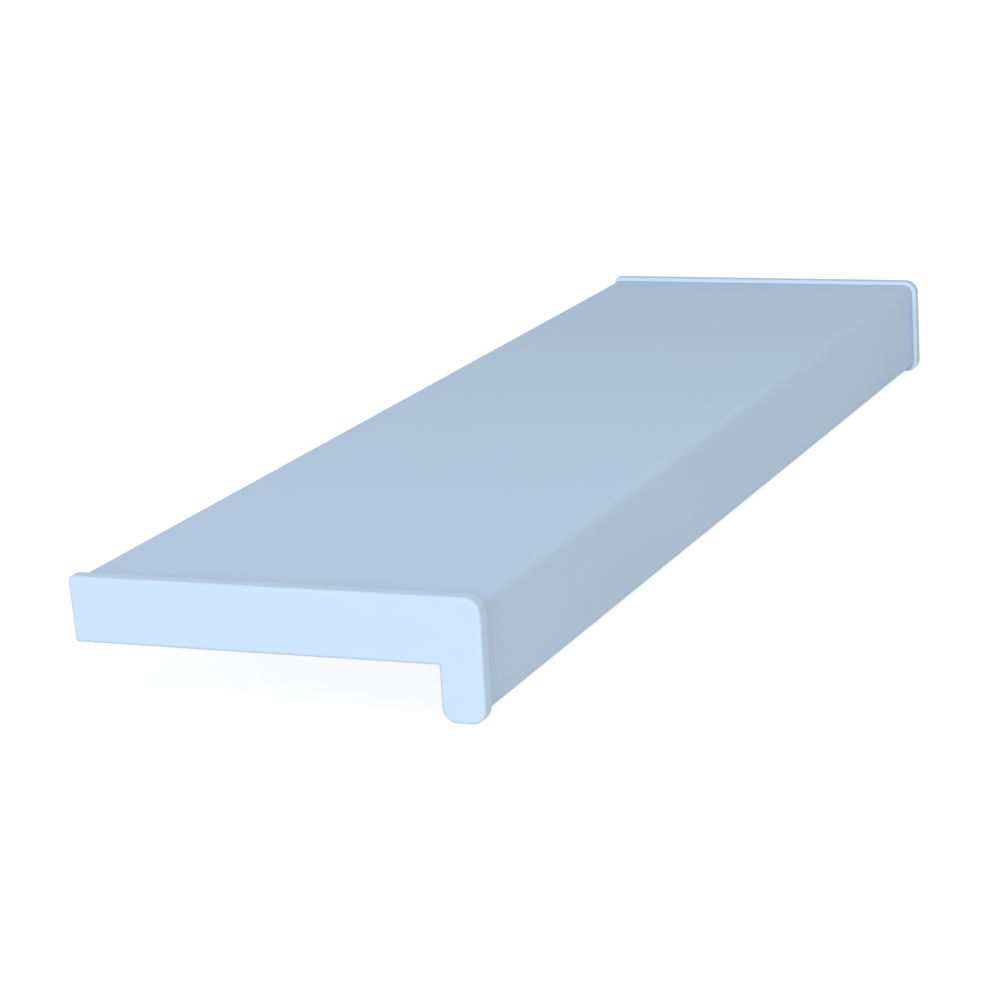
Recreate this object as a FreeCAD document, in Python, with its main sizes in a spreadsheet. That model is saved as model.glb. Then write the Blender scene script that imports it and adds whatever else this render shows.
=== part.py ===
import FreeCAD, Part
import math
import os

import Sketcher
from FreeCAD import Vector

# Window sill board: a hollow plastic board with a front nose, closed by a moulded cap on each end.
#
# Frame, in millimetres: X runs along the board, -Y is the room side with the nose, +Y is the
# window side, +Z is up. The origin is under the middle of the board, at the foot of the caps.
#
# Every section is drawn in the YZ plane. The caps sleeve over the sawn ends of the board, so
# their outlines are the board's own outline, grown by the clearance and then by the cap's walls.

os.makedirs("parts", exist_ok=True)
doc = FreeCAD.newDocument("window_sill_board")

SIZES = {
    "overall_length": (560, "outside of one cap to outside of the other"),
    "board_depth": (150, "room side to window side, without the caps"),
    "board_thickness": (20, "of the flat part"),
    "nose_height": (40, "top of the board to the foot of its nose"),
    "nose_thickness": (12, "room side to the back of the nose"),
    "front_radius": (4, "rounding between the top and the front"),
    "nose_radius": (3.5, "rounding of the two corners of the nose's foot"),
    "back_radius": (0.6, "rounding of the two corners of the back edge"),
    "inner_radius": (1, "fillet between the underside and the nose"),
    "back_undercut": (1, "the back edge leans in by this much at its foot"),
    "outer_wall": (2, "walls of the board that show"),
    "web_thickness": (1.2, "webs between the chambers of the flat part"),
    "chamber_count": (7, "chambers from the back of the nose to the back edge"),
    "chamber_radius": (0.8, "rounding in the corners of the chambers"),
    "cap_wall": (1.8, "rim of the cap, above, below and in front of the board"),
    "cap_back_wall": (1.4, "rim of the cap behind the board"),
    "cap_clearance": (0.1, "between the rim of the cap and the board"),
    "cap_plate": (2, "end plate of the cap"),
    "cap_rim_depth": (6, "outside of the end plate to the free edge of the rim"),
    "cap_edge_radius": (1, "rounding around the outside of the end plate"),
    "cap_rim_radius": (0.3, "rounding around the free edge of the rim"),
    "cap_inner_radius": (0.6, "corner of the cap between the underside and the nose"),
    "cap_top_radius": (1.8, "corner of the cap between the top and the back"),
    "cap_heel_radius": (1.1, "corner of the cap between the underside and the back"),
    "lug_rib": (1.4, "ribs of the lugs that press into the chambers"),
    "lug_length": (12, "from the end plate to the tip of a lug"),
    "lug_clearance": (0.15, "between the foot of a lug and the walls of its chamber"),
    "lug_draft": (1, "taper of a lug towards its tip, in degrees"),
}

sheet = doc.addObject("Spreadsheet::Sheet", "sizes")
for row, (alias, (value, meaning)) in enumerate(SIZES.items(), start=1):
    sheet.set(f"A{row}", meaning)
    sheet.set(f"B{row}", str(value))
    sheet.setAlias(f"B{row}", alias)
doc.recompute()

# Places along X
BOARD_LENGTH = "(sizes.overall_length - 2 * sizes.cap_plate)"
LEFT_END = "(-sizes.overall_length / 2)"
BOARD_LEFT_END = f"({LEFT_END} + sizes.cap_plate)"
RIM_END = f"({LEFT_END} + sizes.cap_rim_depth)"

# Places in the section
OVERHANG = "(sizes.cap_wall + sizes.cap_clearance)"
BACK_OVERHANG = "(sizes.cap_back_wall + sizes.cap_clearance)"
FRONT = f"(({OVERHANG} - {BACK_OVERHANG} - sizes.board_depth) / 2)"
BACK = f"({FRONT} + sizes.board_depth)"
NOSE_BACK = f"({FRONT} + sizes.nose_thickness)"
FOOT = OVERHANG
TOP = f"({FOOT} + sizes.nose_height)"
UNDERSIDE = f"({TOP} - sizes.board_thickness)"

# Chambers of the board: one above the nose, one in the nose, and a row behind them
CHAMBER_FRONT = f"({FRONT} + sizes.outer_wall)"
CHAMBER_BACK = f"({NOSE_BACK} - sizes.outer_wall)"
CHAMBER_FLOOR = f"({UNDERSIDE} + sizes.outer_wall)"
CHAMBER_ROOF = f"({TOP} - sizes.outer_wall)"
NOSE_FLOOR = f"({FOOT} + sizes.outer_wall)"
ROW_DEPTH = f"({BACK} - sizes.outer_wall - {NOSE_BACK})"
ROW_PITCH = f"(({ROW_DEPTH} + sizes.web_thickness) / sizes.chamber_count)"
ROW_WIDTH = f"({ROW_PITCH} - sizes.web_thickness)"


def rounding(corner, before, after, radius):
    """The centre of a rounding, and where it meets the edge before and the edge after."""
    if radius == 0:
        return corner, corner, corner
    to_before = (before - corner).normalize()
    to_after = (after - corner).normalize()
    half_angle = to_before.getAngle(to_after) / 2
    reach = radius / math.tan(half_angle)
    centre = corner + (to_before + to_after).normalize() * (radius / math.sin(half_angle))
    return centre, corner + to_before * reach, corner + to_after * reach


def arc_between(centre, radius, start, end):
    """The arc from start to end, counter-clockwise."""
    angles = [math.atan2(point.y - centre.y, point.x - centre.x) for point in (start, end)]
    return Part.ArcOfCircle(Part.Circle(centre, Vector(0, 0, 1), radius), *angles)


def draw_outline(sketch, corners):
    """Draw a closed outline and bind it: one (y, z, radius) of expressions for each corner.

    Each sharp corner is a construction point, placed by two distances. The edges run through
    these points, and the roundings are tangent arcs between the edges."""
    values = [[float(sketch.evalExpression(text)) for text in corner] for corner in corners]
    points = [Vector(y, z, 0) for y, z, _ in values]
    radii = [radius for _, _, radius in values]
    following = [*range(1, len(corners)), 0]
    roundings = [
        rounding(points[i], points[i - 1], points[following[i]], radii[i])
        for i in range(len(corners))
    ]
    marks = sketch.addGeometry([Part.Point(point) for point in points], True)
    edges = sketch.addGeometry(
        [
            Part.LineSegment(roundings[i][2], roundings[following[i]][1])
            for i in range(len(corners))
        ],
        False,
    )

    bound, free = [], []
    for i, (y, z, radius) in enumerate(corners):
        bound.append((("DistanceX", -1, 1, marks[i], 1, points[i].x), y))
        bound.append((("DistanceY", -1, 1, marks[i], 1, points[i].y), z))
        free.append(("PointOnObject", marks[i], 1, edges[i]))
        free.append(("PointOnObject", marks[following[i]], 1, edges[i]))
        before, after = edges[i - 1], edges[i]
        if radii[i] == 0:
            free.append(("Coincident", before, 2, after, 1))
            continue
        centre, start, end = roundings[i]
        turns_left = (start - points[i]).cross(end - points[i]).z < 0
        if turns_left:
            arc = sketch.addGeometry(arc_between(centre, radii[i], start, end), False)
        else:
            arc = sketch.addGeometry(arc_between(centre, radii[i], end, start), False)
        free.append(("Tangent", before, 2, arc, 1 if turns_left else 2))
        free.append(("Tangent", after, 1, arc, 2 if turns_left else 1))
        bound.append((("Radius", arc, radii[i]), radius))

    every = [constraint for constraint, _ in bound] + free
    numbers = sketch.addConstraint([Sketcher.Constraint(*constraint) for constraint in every])
    for number, (_, text) in zip(numbers, bound):
        sketch.setExpression(f"Constraints[{number}]", text)


def new_body(name):
    body = doc.addObject("PartDesign::Body", name)
    body.Label = name
    return body


def extrude(body, kind, name, corners, length, along_x="0", side="One side"):
    """Draw an outline in the YZ plane at a place along X, then pad it or pocket it.

    The sketch's own x is Y, and its own y is Z. A pad on one side goes to +X, a pocket to -X."""
    sketch = body.newObject("Sketcher::SketchObject", f"{name}_outline")
    plane = next(item for item in body.Origin.OriginFeatures if item.Role == "YZ_Plane")
    sketch.AttachmentSupport = [(plane, "")]
    sketch.MapMode = "FlatFace"
    sketch.setExpression("AttachmentOffset.Base.z", along_x)
    draw_outline(sketch, corners)
    feature = body.newObject(f"PartDesign::{kind}", name)
    feature.Profile = sketch
    feature.SideType = side
    feature.setExpression("Length", length)
    doc.recompute()
    if kind == "Pocket" and feature.Shape.Volume >= feature.BaseFeature.Shape.Volume:
        raise RuntimeError(f"{name} cuts nothing")
    return feature


def repeat_backwards(body, name, feature, count, spacing):
    """Copies of a feature in a row along +Y, towards the back edge."""
    pattern = body.newObject("PartDesign::LinearPattern", name)
    pattern.Originals = [feature]
    pattern.Direction = (feature.Profile[0], ["H_Axis"])
    pattern.Mode = "Spacing"
    pattern.setExpression("Offset", spacing)
    pattern.setExpression("Occurrences", count)
    body.Tip = pattern
    doc.recompute()
    return pattern


def section_outline(growth, back_growth, inner_radius, heel_radius, top_radius):
    """The corners of the board's section, counter-clockwise, grown outwards.

    The heel is the corner between the underside and the back."""
    front, back = f"{FRONT} - {growth}", f"{BACK} + {back_growth}"
    foot, underside, top = f"{FOOT} - {growth}", f"{UNDERSIDE} - {growth}", f"{TOP} + {growth}"
    nose_back = f"{NOSE_BACK} + {growth}"
    return [
        (front, foot, f"sizes.nose_radius + {growth}"),
        (nose_back, foot, f"sizes.nose_radius + {growth}"),
        (nose_back, underside, inner_radius),
        (f"{back} - sizes.back_undercut", underside, heel_radius),
        (back, top, top_radius),
        (front, top, f"sizes.front_radius + {growth}"),
    ]


def chamber_outline(near, far, floor, roof, far_floor=None, radii=("sizes.chamber_radius",) * 4):
    """A chamber with rounded corners. Its foot may end short of its roof."""
    far_floor = far_floor or far
    places = ((near, floor), (far_floor, floor), (far, roof), (near, roof))
    return [(y, z, radius) for (y, z), radius in zip(places, radii)]


def cross_outline(near, far, floor, roof):
    """A cross whose four arms end just clear of a chamber's walls."""
    gap, half_rib = "sizes.lug_clearance", "sizes.lug_rib / 2"
    middle, level = f"({near} + {far}) / 2", f"({floor} + {roof}) / 2"
    y = [f"{near} + {gap}", f"{middle} - {half_rib}", f"{middle} + {half_rib}", f"{far} - {gap}"]
    z = [f"{floor} + {gap}", f"{level} - {half_rib}", f"{level} + {half_rib}", f"{roof} - {gap}"]
    steps = ((1, 0), (2, 0), (2, 1), (3, 1), (3, 2), (2, 2), (2, 3), (1, 3), (1, 2), (0, 2), (0, 1))
    return [(y[i], z[j], "0") for i, j in (*steps, (1, 1))]


def round_end(body, name, feature, end, radius):
    """Round all edges of a flat face that looks along X, the left (min) or the right (max) one."""
    faces = feature.Shape.Faces
    number = end(range(len(faces)), key=lambda i: faces[i].CenterOfMass.x)
    fillet = body.newObject("PartDesign::Fillet", name)
    fillet.Base = (feature, [f"Face{number + 1}"])
    fillet.setExpression("Radius", radius)
    doc.recompute()
    return fillet


def row_chamber(number):
    """The near and far side of a chamber of the row, counted from 0 behind the nose."""
    near = f"({NOSE_BACK} + {number} * {ROW_PITCH})"
    return near, f"({near} + {ROW_WIDTH})"


def make_board():
    """An extrusion: the section as a pad, and its chambers cut from end to end."""
    body = new_body("sill_board")
    back_radius = "sizes.back_radius"
    section = section_outline("0", "0", "sizes.inner_radius", back_radius, back_radius)
    extrude(body, "Pad", "section", section, BOARD_LENGTH, side="Symmetric")

    corner = "sizes.chamber_radius"
    front_corner = "sizes.front_radius - sizes.outer_wall"
    foot_corner = "sizes.nose_radius - sizes.outer_wall"
    outlines = {
        "front_chamber": chamber_outline(
            CHAMBER_FRONT,
            CHAMBER_BACK,
            CHAMBER_FLOOR,
            CHAMBER_ROOF,
            radii=(corner, corner, corner, front_corner),
        ),
        "nose_chamber": chamber_outline(
            CHAMBER_FRONT,
            CHAMBER_BACK,
            NOSE_FLOOR,
            UNDERSIDE,
            radii=(foot_corner, foot_corner, corner, corner),
        ),
    }
    near, far = row_chamber("(sizes.chamber_count - 1)")
    outlines["back_chamber"] = chamber_outline(
        near, far, CHAMBER_FLOOR, CHAMBER_ROOF, far_floor=f"{far} - sizes.back_undercut"
    )
    outlines["row_chamber"] = chamber_outline(*row_chamber(0), CHAMBER_FLOOR, CHAMBER_ROOF)
    for name, outline in outlines.items():
        pocket = extrude(body, "Pocket", name, outline, BOARD_LENGTH, side="Symmetric")
    repeat_backwards(body, "chamber_row", pocket, "sizes.chamber_count - 1", ROW_PITCH)
    return body


def make_left_cap():
    """A moulded tray that sleeves over the board's end, with lugs that press into chambers."""
    body = new_body("end_cap_left")
    corners = ("sizes.cap_inner_radius", "sizes.cap_heel_radius", "sizes.cap_top_radius")
    outside = section_outline(OVERHANG, BACK_OVERHANG, *corners)
    block = extrude(body, "Pad", "block", outside, "sizes.cap_rim_depth", LEFT_END)
    plate_edge = round_end(body, "plate_edge", block, min, "sizes.cap_edge_radius")
    round_end(body, "rim_edge", plate_edge, max, "sizes.cap_rim_radius")

    gap = "sizes.cap_clearance"
    corners = (f"sizes.inner_radius - {gap}", f"sizes.back_radius + {gap}")
    seat = section_outline(gap, gap, *corners, corners[1])
    seat_depth = "sizes.cap_rim_depth - sizes.cap_plate"
    extrude(body, "Pocket", "seat", seat, seat_depth, RIM_END)

    crosses = {
        "nose_lug": cross_outline(CHAMBER_FRONT, CHAMBER_BACK, NOSE_FLOOR, UNDERSIDE),
        "row_lug": cross_outline(*row_chamber(1), CHAMBER_FLOOR, CHAMBER_ROOF),
    }
    for name, outline in crosses.items():
        lug = extrude(body, "Pad", name, outline, "sizes.lug_length", BOARD_LEFT_END)
        lug.setExpression("TaperAngle", "-sizes.lug_draft")
    every_second = "floor((sizes.chamber_count - 1) / 2)"
    repeat_backwards(body, "lug_row", lug, every_second, f"2 * {ROW_PITCH}")
    return body


def make_right_cap(left_cap):
    """The other hand of the left cap, mirrored about the middle of the board."""
    cap = doc.addObject("Part::Mirroring", "end_cap_right")
    cap.Label = "end_cap_right"
    cap.Source = left_cap
    cap.Base = (0, 0, 0)
    cap.Normal = (1, 0, 0)
    doc.recompute()
    return cap


left_cap = make_left_cap()
pieces = [make_board(), left_cap, make_right_cap(left_cap)]

for item in doc.Objects:
    if "Invalid" in item.State or "Error" in item.State:
        raise RuntimeError(f"{item.Name} failed: {item.State}")
for piece in pieces:
    if piece.Shape.isNull() or not piece.Shape.isValid() or len(piece.Shape.Solids) != 1:
        raise RuntimeError(f"{piece.Label} is not one valid solid")
for piece in pieces:
    piece.Shape.exportStep(f"parts/{piece.Label}.step")
    print(f"{piece.Label}: {piece.Shape.Volume:.0f} mm3")
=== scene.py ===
"""Window sill board: a hollow extruded board with a front nose and a moulded cap on each end.

Frame, in metres: X runs along the board, -Y is the room side with the nose, +Y is the window
side, +Z is up. The origin is under the middle of the board, at the foot of the caps."""

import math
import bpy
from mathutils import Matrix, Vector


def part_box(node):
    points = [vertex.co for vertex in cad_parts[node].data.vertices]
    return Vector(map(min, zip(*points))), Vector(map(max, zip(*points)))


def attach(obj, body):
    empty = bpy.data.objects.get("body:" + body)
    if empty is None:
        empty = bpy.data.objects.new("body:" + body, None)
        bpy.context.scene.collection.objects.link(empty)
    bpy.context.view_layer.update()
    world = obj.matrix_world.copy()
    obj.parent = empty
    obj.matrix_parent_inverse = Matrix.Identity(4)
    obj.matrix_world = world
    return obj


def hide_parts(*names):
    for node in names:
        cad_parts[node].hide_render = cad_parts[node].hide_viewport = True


bl_info = {
    "name": "Window Sill Board",
    "version": (1, 0, 0),
    "blender": (4, 5, 0),
    "location": "View3D > Sidebar > Sill Board",
    "description": "Builds a capped window sill board, its plastics and a plain studio",
    "category": "Add Mesh",
}

import bpy
import numpy as np
from bpy.props import FloatProperty, FloatVectorProperty, IntProperty, PointerProperty
from mathutils import Quaternion, Vector
from mathutils.geometry import tessellate_polygon

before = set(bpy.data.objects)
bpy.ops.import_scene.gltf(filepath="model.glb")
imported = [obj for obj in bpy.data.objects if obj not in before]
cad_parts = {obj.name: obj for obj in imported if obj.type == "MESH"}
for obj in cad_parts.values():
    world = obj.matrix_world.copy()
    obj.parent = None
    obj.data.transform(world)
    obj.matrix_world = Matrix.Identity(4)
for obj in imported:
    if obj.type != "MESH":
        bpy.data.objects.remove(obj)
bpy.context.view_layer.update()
CAP_LOW, CAP_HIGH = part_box("end_cap_left")
BOARD_LOW, BOARD_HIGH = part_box("sill_board")
MM = 0.001

BOARD_ROWS = 29  # sections along the board
CHAMBER_STRIDE = 7  # a chamber's walls use every seventh of them
CORNER_STEPS = 10  # faces round a corner of the board or of a cap
CHAMBER_CORNER_STEPS = 4
LUG_CORNER_STEPS = 3
EDGE_STEPS = 12  # faces round the outer edge of a cap's plate
RIM_STRIDE = 3  # the rim's free edge uses every third of them
SUPPORT = 0.4 * MM  # from a corner's rounding to the point that keeps the face beside it flat
EDGE_SUPPORT = 0.3 * MM  # the same, along X, behind the plate's outer edge
RIM_SUPPORT = 0.2 * MM  # the same at the rim's free edge and at the plate's inside
LEAST_RADIUS = 0.05 * MM  # a rounding too small to see
LUG_RADIUS = 0.3 * MM  # the corners of a cap's lugs
SHARP_ANGLE = math.radians(32)  # faces that meet at a larger angle shade apart


def size(name, description, default):
    """A length that the sidebar shows in the scene's unit."""
    return FloatProperty(
        name=name, description=description, default=default, min=0, subtype="DISTANCE", precision=5
    )


def colour(name, description, default):
    """A plastic's or the floor's colour, in linear light."""
    return FloatVectorProperty(
        name=name, description=description, default=default, min=0, max=1, subtype="COLOR"
    )


def factor(name, description, default):
    """A share from 0 to 1."""
    return FloatProperty(
        name=name, description=description, default=default, min=0, max=1, subtype="FACTOR"
    )


def power(name, description, default):
    """The power of a lamp, in watts."""
    return FloatProperty(name=name, description=description, default=default, min=0, unit="POWER")


class SillBoardSizes(bpy.types.PropertyGroup):
    """The extruded board, as its section is drawn and as it is sawn off"""

    length: size("Length", "Sawn length of the board", BOARD_HIGH.x - BOARD_LOW.x)
    depth: size("Depth", "From the room side to the window side", 150 * MM)
    thickness: size("Thickness", "Of the flat part", 20 * MM)
    nose_height: size("Nose height", "From the top to the foot of the nose", 40 * MM)
    nose_thickness: size("Nose thickness", "From the room side to the back of the nose", 12 * MM)
    front_radius: size("Front radius", "Between the top and the front", 4 * MM)
    nose_radius: size("Nose radius", "Both corners of the nose's foot", 3.5 * MM)
    inner_radius: size("Inner radius", "Between the underside and the nose", 1 * MM)
    back_radius: size("Back radius", "Both corners of the back edge", 0.6 * MM)
    back_undercut: size("Back undercut", "How far the back edge leans in at its foot", 1 * MM)
    outer_wall: size("Outer wall", "Walls of the board that show", 2 * MM)
    web: size("Web", "Webs between the chambers", 1.2 * MM)
    chamber_radius: size("Chamber radius", "Corners of the chambers", 0.8 * MM)
    chambers: IntProperty(
        name="Chambers", description="From the nose to the back edge", default=7, min=3
    )


class EndCapSizes(bpy.types.PropertyGroup):
    """The moulded caps. What isn't here follows from the board"""

    wall: size("Rim wall", "Rim above, below and in front of the board", 1.8 * MM)
    back_wall: size("Back wall", "Rim behind the board", 1.4 * MM)
    clearance: size("Clearance", "Between the rim and the board", 0.1 * MM)
    plate: size("End plate", "Thickness of the plate that closes the end", 2 * MM)
    rim_depth: size("Rim depth", "From the outside of the plate to the rim's free edge", 6 * MM)
    edge_radius: size("Edge radius", "Around the outside of the plate", 1.5 * MM)
    rim_radius: size("Rim radius", "Around the free edge of the rim", 0.3 * MM)
    inner_radius: size("Inner radius", "Between the underside and the nose", 0.6 * MM)
    top_radius: size("Top radius", "Between the top and the back", 1.8 * MM)
    heel_radius: size("Heel radius", "Between the underside and the back", 1.1 * MM)
    lug_rib: size("Lug rib", "Ribs of the cross-shaped lugs", 1.4 * MM)
    lug_length: size("Lug length", "From the plate to the tip of a lug", 12 * MM)
    lug_clearance: size("Lug clearance", "Between a lug's foot and its chamber", 0.15 * MM)
    lug_draft: FloatProperty(
        name="Lug draft",
        description="Taper of a lug towards its tip",
        default=math.radians(1),
        subtype="ANGLE",
    )


class SillPlastics(bpy.types.PropertyGroup):
    """Colours and sheen of the two plastics"""

    board_colour: colour("Board", "Colour of the extruded board", (0.445, 0.597, 0.81))
    board_roughness: factor("Board roughness", "Satin of the extruded skin", 0.5)
    cap_colour: colour("Caps", "Colour of the moulded caps", (0.448, 0.6, 0.805))
    cap_roughness: factor("Cap roughness", "Sheen of the moulded caps", 0.42)
    unevenness: factor("Unevenness", "Strength of cloudy patches and draw lines", 0.5)


class StudioSettings(bpy.types.PropertyGroup):
    """Light and floor"""

    room_light: factor("Room light", "Even light from all sides", 0.46)
    end_light: power("End light", "Soft lamp far beyond the left end", 2810)
    top_light: power("Top light", "Soft lamp above the left end", 2.23)
    front_light: power("Front light", "Soft warm lamp low before the front", 5.7)
    floor_colour: colour("Floor", "Colour of the floor", (0.8, 0.8, 0.8))
    shadow: factor("Shadow", "How much of the shadow on the floor the camera sees", 0.45)


# Shapes


def round_outline(corners, steps=CORNER_STEPS):
    """Points and outward normals of a closed outline with round corners, counter-clockwise.

    corners holds one row (y, z, radius) for each sharp corner. At a corner the outward normal
    turns from that of the edge before to that of the edge after, by the angle t, and the
    rounding's points are corner - s r m + s r n, where n is the normal as it turns, m is the
    mitre (n0 + n1) / (1 + n0 . n1), and s is 1 on an outer corner and -1 on an inner one.
    Each edge gets a point close to each of its ends, at most a third of its length away, so
    that it shades flat between them."""
    corners = np.asarray(corners, float)
    sharp, radius = corners[:, :2], corners[:, 2]
    after = np.roll(sharp, -1, axis=0) - sharp
    after /= np.linalg.norm(after, axis=1, keepdims=True)
    before = np.roll(after, 1, axis=0)
    angle_before = np.arctan2(-before[:, 0], before[:, 1])
    turn = np.arctan2(
        before[:, 0] * after[:, 1] - before[:, 1] * after[:, 0], (before * after).sum(axis=1)
    )
    angle = angle_before[:, None] + turn[:, None] * np.linspace(0, 1, steps + 1)
    normals = np.stack([np.cos(angle), np.sin(angle)], axis=-1)
    first, last = normals[:, 0], normals[:, -1]
    mitre = (first + last) / (1 + (first * last).sum(axis=1, keepdims=True))
    reach = (np.sign(turn) * radius)[:, None]
    arcs = (sharp - reach * mitre)[:, None] + reach[:, None] * normals

    start, end = arcs[:, -1], np.roll(arcs[:, 0], -1, axis=0)
    length = np.linalg.norm(end - start, axis=1, keepdims=True)
    inset = np.minimum(SUPPORT, length / 3) * after
    points = np.concatenate([arcs, (start + inset)[:, None], (end - inset)[:, None]], axis=1)
    normals = np.concatenate([normals, last[:, None], last[:, None]], axis=1)
    return points.reshape(-1, 2), normals.reshape(-1, 2)


def carry(outline, x, growth):
    """Carry an outline along X: row i stands at x[i], and is the outline moved by growth[i]
    along its outward normals."""
    points, normals = outline
    x, growth = np.atleast_1d(x), np.atleast_1d(growth)
    yz = points + growth[:, None, None] * normals
    along = np.broadcast_to(x[:, None, None], (*yz.shape[:2], 1))
    return np.concatenate([along, yz], axis=-1)


class Shell:
    """Gathers the rows and flat faces of one closed surface."""

    def __init__(self):
        self.points = np.zeros((0, 3))
        self.faces = []

    def add_rows(self, rows, inwards=False):
        """Quads between neighbouring rows: point j joins point j + 1 and the next row's two.
        Gives back the numbers of the points of the first row and of the last."""
        count, width = rows.shape[:2]
        number = len(self.points) + np.arange(count * width).reshape(count, width)
        ahead = np.roll(number, -1, axis=1)
        quads = np.stack([number[:-1], ahead[:-1], ahead[1:], number[1:]], axis=-1).reshape(-1, 4)
        self.faces += (quads[:, ::-1] if inwards else quads).tolist()
        self.points = np.concatenate([self.points, rows.reshape(-1, 3)])
        return number[0], number[-1]

    def close(self, loops, facing):
        """Triangles over a flat face: the first loop is its edge and the others are holes.
        A triangle whose normal looks away from facing (1 or -1 along X) is turned round."""
        flat = [[(y, z, 0) for _, y, z in self.points[loop]] for loop in loops]
        triangles = np.concatenate(loops)[np.array(tessellate_polygon(flat))]
        a, b, c = (self.points[triangles[:, corner]] for corner in range(3))
        turned = np.cross(b - a, c - a)[:, 0] * facing < 0
        triangles[turned] = triangles[turned][:, ::-1]
        self.faces += triangles.tolist()

    def mirrored(self):
        """The other hand: X changes sign and every face is turned round."""
        other = Shell()
        other.points = self.points * (-1, 1, 1)
        other.faces = [face[::-1] for face in self.faces]
        return other

    def make(self, name, finish, node, slot):
        """The finished piece, in the place of its solid."""
        mesh = bpy.data.meshes.new(name)
        mesh.from_pydata(self.points.tolist(), [], self.faces)
        if mesh.validate(verbose=False):
            raise RuntimeError(f"{name} has faces that overlap or have no area")
        mesh.shade_smooth()
        mesh.set_sharp_from_angle(angle=SHARP_ANGLE)
        mesh.materials.append(finish)
        piece = bpy.data.objects.new(name, mesh)
        bpy.context.scene.collection.objects.link(piece)
        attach(piece, "root")
        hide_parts(node)


def section_places(board, caps):
    """Where the straight faces of the board's section are. The caps are centred on Y = 0."""
    front = (caps.wall - caps.back_wall - board.depth) / 2
    foot = caps.wall + caps.clearance
    top = foot + board.nose_height
    return {
        "front": front,
        "nose_back": front + board.nose_thickness,
        "back": front + board.depth,
        "foot": foot,
        "underside": top - board.thickness,
        "top": top,
    }


def section_corners(board, caps, growth, back_growth, inner_radius, heel_radius, top_radius):
    """The corners of the board's section, grown outwards. The heel is the lower back corner."""
    at = section_places(board, caps)
    front, nose_back = at["front"] - growth, at["nose_back"] + growth
    back, top = at["back"] + back_growth, at["top"] + growth
    foot, underside = at["foot"] - growth, at["underside"] - growth
    return [
        (front, foot, board.nose_radius + growth),
        (nose_back, foot, board.nose_radius + growth),
        (nose_back, underside, inner_radius),
        (back - board.back_undercut, underside, heel_radius),
        (back, top, top_radius),
        (front, top, board.front_radius + growth),
    ]


def chamber_walls(board, caps):
    """Near, far, floor and roof of each chamber: above the nose, in it, then the row behind."""
    at = section_places(board, caps)
    wall = board.outer_wall
    near, far = at["front"] + wall, at["nose_back"] - wall
    floor, roof = at["underside"] + wall, at["top"] - wall
    pitch = (at["back"] - wall - at["nose_back"] + board.web) / board.chambers
    row = [
        (start, start + pitch - board.web, floor, roof)
        for start in at["nose_back"] + pitch * np.arange(board.chambers)
    ]
    return [(near, far, floor, roof), (near, far, at["foot"] + wall, at["underside"])], row


def chamber_corners(walls, radii, undercut=0):
    """A chamber's four corners. The far wall leans in by the undercut at its foot."""
    near, far, floor, roof = walls
    places = ((near, floor), (far - undercut, floor), (far, roof), (near, roof))
    return [(y, z, radius) for (y, z), radius in zip(places, radii)]


def cross_corners(caps, walls):
    """A cross whose four arms end just clear of a chamber's walls."""
    near, far, floor, roof = walls
    gap, rib = caps.lug_clearance, caps.lug_rib / 2
    middle, level = (near + far) / 2, (floor + roof) / 2
    y = (near + gap, middle - rib, middle + rib, far - gap)
    z = (floor + gap, level - rib, level + rib, roof - gap)
    turns = (1, 0), (2, 0), (2, 1), (3, 1), (3, 2), (2, 2), (2, 3), (1, 3), (1, 2), (0, 2), (0, 1)
    return [(y[i], z[j], LUG_RADIUS) for i, j in (*turns, (1, 1))]


def board_shell(board, caps):
    """The section carried along the board, its chambers carried through it, and its two ends."""
    half = board.length / 2
    shell = Shell()
    x = np.linspace(-half, half, BOARD_ROWS)
    radii = board.inner_radius, board.back_radius, board.back_radius
    outline = round_outline(section_corners(board, caps, 0, 0, *radii))
    loops = [shell.add_rows(carry(outline, x, 0 * x))]

    soft = board.chamber_radius
    front_soft = board.front_radius - board.outer_wall
    foot_soft = board.nose_radius - board.outer_wall
    (front, nose), row = chamber_walls(board, caps)
    chambers = [
        chamber_corners(front, (soft, soft, soft, front_soft)),
        chamber_corners(nose, (foot_soft, foot_soft, soft, soft)),
        *(chamber_corners(walls, (soft,) * 4) for walls in row[:-1]),
        chamber_corners(row[-1], (soft,) * 4, board.back_undercut),
    ]
    chamber_x = x[::CHAMBER_STRIDE]
    for corners in chambers:
        rows = carry(round_outline(corners, CHAMBER_CORNER_STEPS), chamber_x, 0 * chamber_x)
        loops.append(shell.add_rows(rows, inwards=True))
    shell.close([first for first, _ in loops], facing=-1)
    shell.close([last for _, last in loops], facing=1)
    return shell


def cap_outline(board, caps, inset):
    """The outside of the cap's section, drawn in by an inset. A corner rounding that the inset
    would use up stays as one too small to see."""
    growth, back_growth = (wall + caps.clearance - inset for wall in (caps.wall, caps.back_wall))
    left = (max(radius - inset, LEAST_RADIUS) for radius in (caps.heel_radius, caps.top_radius))
    corners = section_corners(board, caps, growth, back_growth, caps.inner_radius + inset, *left)
    return round_outline(corners)


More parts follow.
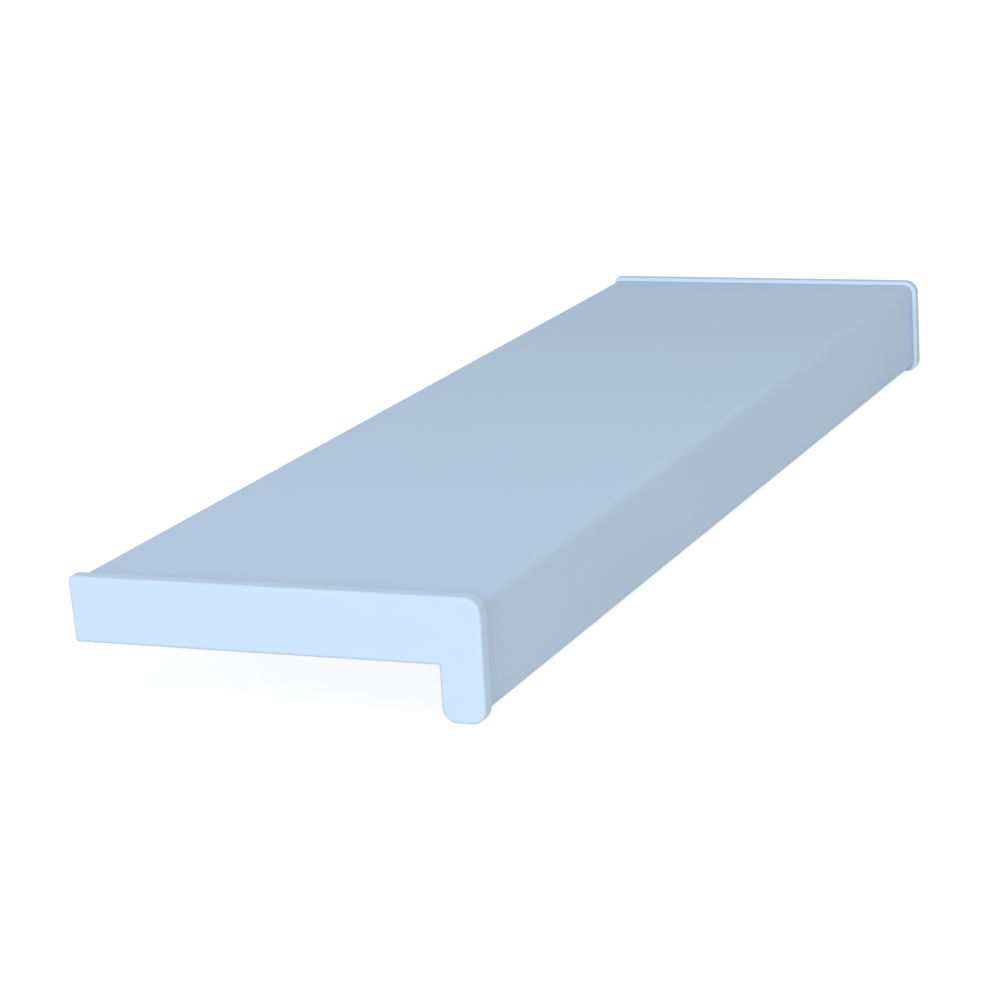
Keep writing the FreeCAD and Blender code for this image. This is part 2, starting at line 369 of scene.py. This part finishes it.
def cap_shell(board, caps):
    """The left cap: one grid from the plate's outside, round its edge, along the rim, round the
    free edge and back down the seat to the plate's inside, where the lugs rise.

    Along the grid's second direction, an edge rounding of radius r stands at
    x = start + r (1 - cos a) and is drawn in by r (1 - sin a), as a goes from 0 to 90 degrees."""
    outside_end = -board.length / 2 - caps.plate
    inside_end = -board.length / 2
    rim_end = outside_end + caps.rim_depth
    edge, rim = caps.edge_radius, caps.rim_radius
    sweep = np.linspace(0, math.pi / 2, EDGE_STEPS + 1)
    rim_sweep = sweep[::RIM_STRIDE]

    x = np.concatenate(
        [
            [outside_end],
            outside_end + edge * (1 - np.cos(sweep)),
            [outside_end + edge + EDGE_SUPPORT, rim_end - rim - RIM_SUPPORT],
            rim_end - rim * (1 - np.sin(rim_sweep)),
        ]
    )
    drawn_in = np.concatenate(
        [[edge + SUPPORT], edge * (1 - np.sin(sweep)), [0, 0], rim * (1 - np.cos(rim_sweep))]
    )
    outside = [carry(cap_outline(board, caps, inset), at, 0) for at, inset in zip(x, drawn_in)]
    gap = caps.clearance
    radii = board.inner_radius - gap, board.back_radius + gap, board.back_radius + gap
    seat = round_outline(section_corners(board, caps, gap, gap, *radii))
    seat_x = np.array([rim_end, rim_end - RIM_SUPPORT, inside_end + RIM_SUPPORT, inside_end])
    shell = Shell()
    first, last = shell.add_rows(np.concatenate([*outside, carry(seat, seat_x, 0 * seat_x)]))
    shell.close([first], facing=-1)

    loops = [last]
    (_, nose), row = chamber_walls(board, caps)
    taper = math.tan(caps.lug_draft) * caps.lug_length
    lug_x = inside_end + np.array([0, caps.lug_length])
    for walls in (nose, *row[1::2]):
        cross = round_outline(cross_corners(caps, walls), LUG_CORNER_STEPS)
        foot, tip = shell.add_rows(carry(cross, lug_x, np.array([0, -taper])))
        loops.append(foot)
        shell.close([tip], facing=1)
    shell.close(loops, facing=1)
    return shell


# Plastics

CLOUD_SHARE, LINE_SHARE, SPECKLE_SHARE = 0.6, 0.3, 0.1  # of a plastic's change of tone
TONE_RANGE = 0.06  # of the colour, darker and lighter, at an unevenness of 1
CLOUD_GLOSS, LINE_GLOSS = 0.16, 0.24  # change of roughness at an unevenness of 1
PVC_IOR = 1.46
PVC_SPECULAR = 0.35


class Field:
    """A number that varies over a surface: one output socket that takes part in arithmetic."""

    def __init__(self, finish, socket):
        self.finish, self.socket = finish, socket

    def _math(self, operation, *values):
        sockets = dict(enumerate(values))
        return self.finish.node("ShaderNodeMath", {"operation": operation}, sockets)

    def __add__(self, other):
        return self._math("ADD", self, other)

    def __sub__(self, other):
        return self._math("SUBTRACT", self, other)

    def __rsub__(self, other):
        return self._math("SUBTRACT", other, self)

    def __mul__(self, other):
        return self._math("MULTIPLY", self, other)

    __radd__ = __add__
    __rmul__ = __mul__


class Finish:
    """The nodes of one material or of the world."""

    def __init__(self, owner):
        owner.use_nodes = True
        self.tree = owner.node_tree
        self.tree.nodes.clear()

    def node(self, kind, settings=None, sockets=None, output=0):
        """Adds a node: its settings first, then the value or the link of each socket. A socket
        goes by its number, its name, or its identifier where several share a name."""
        made = self.tree.nodes.new(kind)
        for name, value in (settings or {}).items():
            setattr(made, name, value)
        for name, value in (sockets or {}).items():
            socket = self.find(made.inputs, name)
            if isinstance(value, Field):
                self.tree.links.new(value.socket, socket)
            else:
                socket.default_value = value
        return Field(self, self.find(made.outputs, output)) if len(made.outputs) else None

    @staticmethod
    def find(sockets, name):
        """The socket with this number, name or identifier."""
        if isinstance(name, int):
            return sockets[name]
        return next(socket for socket in sockets if name in (socket.name, socket.identifier))

    def mix_colours(self, amount, first, second):
        """first where amount is 0, second where it is 1."""
        return self.node(
            "ShaderNodeMix",
            {"data_type": "RGBA"},
            {"Factor_Float": amount, "A_Color": (*first, 1), "B_Color": (*second, 1)},
            output="Result_Color",
        )

    def place(self):
        """Where on the object a point is, in metres."""
        return self.node("ShaderNodeTexCoord", output="Object")

    def noise(self, grain, detail=2.0, roughness=0.5):
        """Noise from 0 to 1 on Object coordinates, with a grain of these lengths in metres."""
        scale = tuple(1 / length for length in grain)
        place = self.node("ShaderNodeMapping", sockets={"Vector": self.place(), "Scale": scale})
        sockets = {"Vector": place, "Scale": 1.0, "Detail": detail, "Roughness": roughness}
        return self.node("ShaderNodeTexNoise", sockets=sockets)

    def tint(self, base, change, amount):
        """The base colour made up to amount darker or lighter, as change goes from 0 to 1."""
        darker, lighter = (tuple(c * (1 + sign * amount) for c in base) for sign in (-1, 1))
        return self.mix_colours(change, darker, lighter)


def plastic(name, base, roughness, clouds, lines, grain, unevenness, line_depth, grain_depth):
    """A dyed plastic with cloudy patches, lines left by its making and a fine grain.

    clouds, lines and grain are each the (x, y, z) lengths of a noise's cells; the depths are the
    heights of the lines and of the grain in metres."""
    material = bpy.data.materials.new(name)
    finish = Finish(material)
    cloud = finish.noise(clouds, detail=3.0)
    line = finish.noise(lines, detail=3.0, roughness=0.6)
    speckle = finish.noise(grain, detail=2.0)
    change = cloud * CLOUD_SHARE + line * LINE_SHARE + speckle * SPECKLE_SHARE
    cloudy = (cloud - 0.5) * (CLOUD_GLOSS * unevenness)
    lined = (line - 0.5) * (LINE_GLOSS * unevenness)
    height = line * line_depth + speckle * grain_depth
    relief = {"Strength": 1.0, "Distance": 1.0, "Height": height}
    surface = finish.node(
        "ShaderNodeBsdfPrincipled",
        sockets={
            "Base Color": finish.tint(base, change, TONE_RANGE * unevenness),
            "Roughness": roughness + cloudy + lined,
            "IOR": PVC_IOR,
            "Specular IOR Level": PVC_SPECULAR,
            "Normal": finish.node("ShaderNodeBump", sockets=relief),
        },
    )
    finish.node("ShaderNodeOutputMaterial", sockets={"Surface": surface})
    return material


def extruded_plastic(plastics):
    """Satin skin with faint draw lines along the board."""
    return plastic(
        "extruded_plastic",
        plastics.board_colour,
        plastics.board_roughness,
        clouds=(90 * MM, 35 * MM, 35 * MM),
        lines=(400 * MM, 0.9 * MM, 0.9 * MM),
        grain=(0.35 * MM, 0.25 * MM, 0.25 * MM),
        unevenness=plastics.unevenness,
        line_depth=0.006 * MM,
        grain_depth=0.005 * MM,
    )


def moulded_plastic(plastics):
    """Smoother skin with faint flow patches and the fine grain of a spark-eroded mould."""
    return plastic(
        "moulded_plastic",
        plastics.cap_colour,
        plastics.cap_roughness,
        clouds=(14 * MM, 26 * MM, 12 * MM),
        lines=(3 * MM, 9 * MM, 3 * MM),
        grain=(0.3 * MM, 0.3 * MM, 0.3 * MM),
        unevenness=plastics.unevenness,
        line_depth=0.006 * MM,
        grain_depth=0.006 * MM,
    )


# Studio

FLOOR_REACH = 12.0  # metres from the middle to each side
FLOOR_WHITE = 1.02  # a little over white, so that uneven light leaves no mark on the floor

# Each lamp's place and side in metres, and its tint
END_LAMP = Vector((-19.8, -1.9, 3)), 6.2, (1, 0.93, 0.85)
TOP_LAMP = Vector((-0.4, 0, 0.85)), 0.6, (1, 0.985, 1)
FRONT_LAMP = Vector((-0.7, -1.5, 0.4)), 0.8, (1, 0.886, 0.547)

CAMERA_TARGET = Vector((-83.02, -3.94, 23.89)) * MM
CAMERA_AZIMUTH = math.radians(67.29)  # from the room side towards the left end
CAMERA_ELEVATION = math.radians(14.11)
CAMERA_ROLL = math.radians(3.35)
CAMERA_DISTANCE = 1.2608
CAMERA_CLIP = 0.01, 100.0
LENS = 116.175  # millimetres, as is the width of the sensor
SENSOR_WIDTH = 36.0


def seen_directly(finish):
    """1 on rays that the camera sees, straight on or in a gloss or a glass, and else 0."""
    rays = ("Is Camera Ray", "Is Glossy Ray", "Is Transmission Ray")
    camera, glossy, through = (finish.node("ShaderNodeLightPath", output=name) for name in rays)
    total = camera + glossy + through
    return finish.node("ShaderNodeMath", {"operation": "MINIMUM"}, {0: total, 1: 1.0})


def make_floor(studio):
    """A level plane, white to the camera where nothing shades it.

    The camera sees a share of the light on it, studio.shadow, and a glow that makes up the rest
    of white, so that a shadow is as much fainter. Other rays see a plain matte floor."""
    sides = (-1, -1), (1, -1), (1, 1), (-1, 1)
    corners = [(FLOOR_REACH * x, FLOOR_REACH * y, 0) for x, y in sides]
    mesh = bpy.data.meshes.new("floor")
    mesh.from_pydata(corners, [], [(0, 1, 2, 3)])
    floor = bpy.data.objects.new("floor", mesh)
    bpy.context.scene.collection.objects.link(floor)
    material = bpy.data.materials.new("pale_floor")
    finish = Finish(material)
    seen = seen_directly(finish)
    lit = sum(studio.floor_colour) / 3 * studio.room_light
    own = FLOOR_WHITE - lit * studio.shadow
    shaded = tuple(c * studio.shadow for c in studio.floor_colour)
    shade = finish.mix_colours(seen, studio.floor_colour, shaded)
    matte = finish.node("ShaderNodeBsdfDiffuse", sockets={"Color": shade})
    glow = finish.node("ShaderNodeEmission", sockets={"Strength": seen * own})
    both = finish.node("ShaderNodeAddShader", sockets={0: matte, 1: glow})
    finish.node("ShaderNodeOutputMaterial", sockets={"Surface": both})
    mesh.materials.append(material)


def make_room(studio):
    """Even light of room_light on the board, and white behind it."""
    world = bpy.data.worlds.new("studio")
    bpy.context.scene.world = world
    finish = Finish(world)
    strength = seen_directly(finish) * (1 - studio.room_light) + studio.room_light
    white = {"Color": (1, 1, 1, 1), "Strength": strength}
    background = finish.node("ShaderNodeBackground", sockets=white)
    finish.node("ShaderNodeOutputWorld", sockets={"Surface": background})


def make_lamp(name, lamp_power, target, place, side, tint):
    """A soft square lamp at a place, turned to a target. Glossy rays see the white room in its
    place, so that a flat satin face doesn't flare at a grazing angle."""
    lamp = bpy.data.lights.new(name, "AREA")
    lamp.shape, lamp.size, lamp.energy, lamp.color = "SQUARE", side, lamp_power, tint
    holder = bpy.data.objects.new(name, lamp)
    holder.visible_camera = False
    holder.visible_glossy = False
    holder.location = place
    holder.rotation_euler = (target - place).to_track_quat("-Z", "Y").to_euler()
    bpy.context.scene.collection.objects.link(holder)


def make_camera():
    """A long lens a little above the board, on the room side of its left end, that looks along
    it to the right end."""
    outwards = Vector(
        (
            -math.sin(CAMERA_AZIMUTH) * math.cos(CAMERA_ELEVATION),
            -math.cos(CAMERA_AZIMUTH) * math.cos(CAMERA_ELEVATION),
            math.sin(CAMERA_ELEVATION),
        )
    )
    lens = bpy.data.cameras.new("camera")
    lens.lens, lens.sensor_width = LENS, SENSOR_WIDTH
    lens.clip_start, lens.clip_end = CAMERA_CLIP
    camera = bpy.data.objects.new("camera", lens)
    camera.location = CAMERA_TARGET + outwards * CAMERA_DISTANCE
    level = (-outwards).to_track_quat("-Z", "Y")
    camera.rotation_euler = (level @ Quaternion((0, 0, 1), -CAMERA_ROLL)).to_euler()
    bpy.context.scene.collection.objects.link(camera)
    bpy.context.scene.camera = camera


# Operators and panel


class SILL_OT_board(bpy.types.Operator):
    """Build the hollow extruded board"""

    bl_idname = "sill.board"
    bl_label = "Board"

    def execute(self, context):
        scene = context.scene
        shell = board_shell(scene.sill_board, scene.sill_caps)
        finish = extruded_plastic(scene.sill_plastics)
        shell.make("board_extrusion", finish, "sill_board", "board")
        return {"FINISHED"}


class SILL_OT_end_caps(bpy.types.Operator):
    """Build the two moulded caps that sleeve over the board's ends"""

    bl_idname = "sill.end_caps"
    bl_label = "End caps"

    def execute(self, context):
        scene = context.scene
        shell = cap_shell(scene.sill_board, scene.sill_caps)
        finish = moulded_plastic(scene.sill_plastics)
        shell.make("cap_moulding_left", finish, "end_cap_left", "cap")
        shell.mirrored().make("cap_moulding_right", finish, "end_cap_right", "cap")
        return {"FINISHED"}


class SILL_OT_studio(bpy.types.Operator):
    """Build the pale floor, the soft light and the camera"""

    bl_idname = "sill.studio"
    bl_label = "Studio"

    def execute(self, context):
        studio = context.scene.sill_studio
        context.scene.view_settings.view_transform = "Standard"
        make_floor(studio)
        make_room(studio)
        left_end = Vector((CAP_LOW.x, 0, CAP_HIGH.z / 2))
        make_lamp("end_lamp", studio.end_light, left_end, *END_LAMP)
        make_lamp("top_lamp", studio.top_light, left_end, *TOP_LAMP)
        make_lamp("front_lamp", studio.front_light, left_end, *FRONT_LAMP)
        make_camera()
        return {"FINISHED"}


class SILL_PT_panel(bpy.types.Panel):
    """Sizes, plastics and studio, each but the plastics with the button that builds from it"""

    bl_idname = "SILL_PT_panel"
    bl_label = "Sill Board"
    bl_space_type = "VIEW_3D"
    bl_region_type = "UI"
    bl_category = "Sill Board"

    def draw(self, context):
        scene = context.scene
        parts = (
            (SILL_OT_board, scene.sill_board),
            (SILL_OT_end_caps, scene.sill_caps),
            (None, scene.sill_plastics),
            (SILL_OT_studio, scene.sill_studio),
        )
        for operator, settings in parts:
            box = self.layout.box()
            for name in settings.bl_rna.properties.keys():
                if name not in ("rna_type", "name"):
                    box.prop(settings, name)
            if operator:
                box.operator(operator.bl_idname)


CLASSES = (
    SillBoardSizes,
    EndCapSizes,
    SillPlastics,
    StudioSettings,
    SILL_OT_board,
    SILL_OT_end_caps,
    SILL_OT_studio,
    SILL_PT_panel,
)


def register():
    for cls in CLASSES:
        bpy.utils.register_class(cls)
    bpy.types.Scene.sill_board = PointerProperty(type=SillBoardSizes)
    bpy.types.Scene.sill_caps = PointerProperty(type=EndCapSizes)
    bpy.types.Scene.sill_plastics = PointerProperty(type=SillPlastics)
    bpy.types.Scene.sill_studio = PointerProperty(type=StudioSettings)


def unregister():
    for name in ("sill_board", "sill_caps", "sill_plastics", "sill_studio"):
        delattr(bpy.types.Scene, name)
    for cls in reversed(CLASSES):
        bpy.utils.unregister_class(cls)


def main():
    register()
    bpy.ops.sill.board()
    bpy.ops.sill.end_caps()
    bpy.ops.sill.studio()


if __name__ == "__main__":
    main()
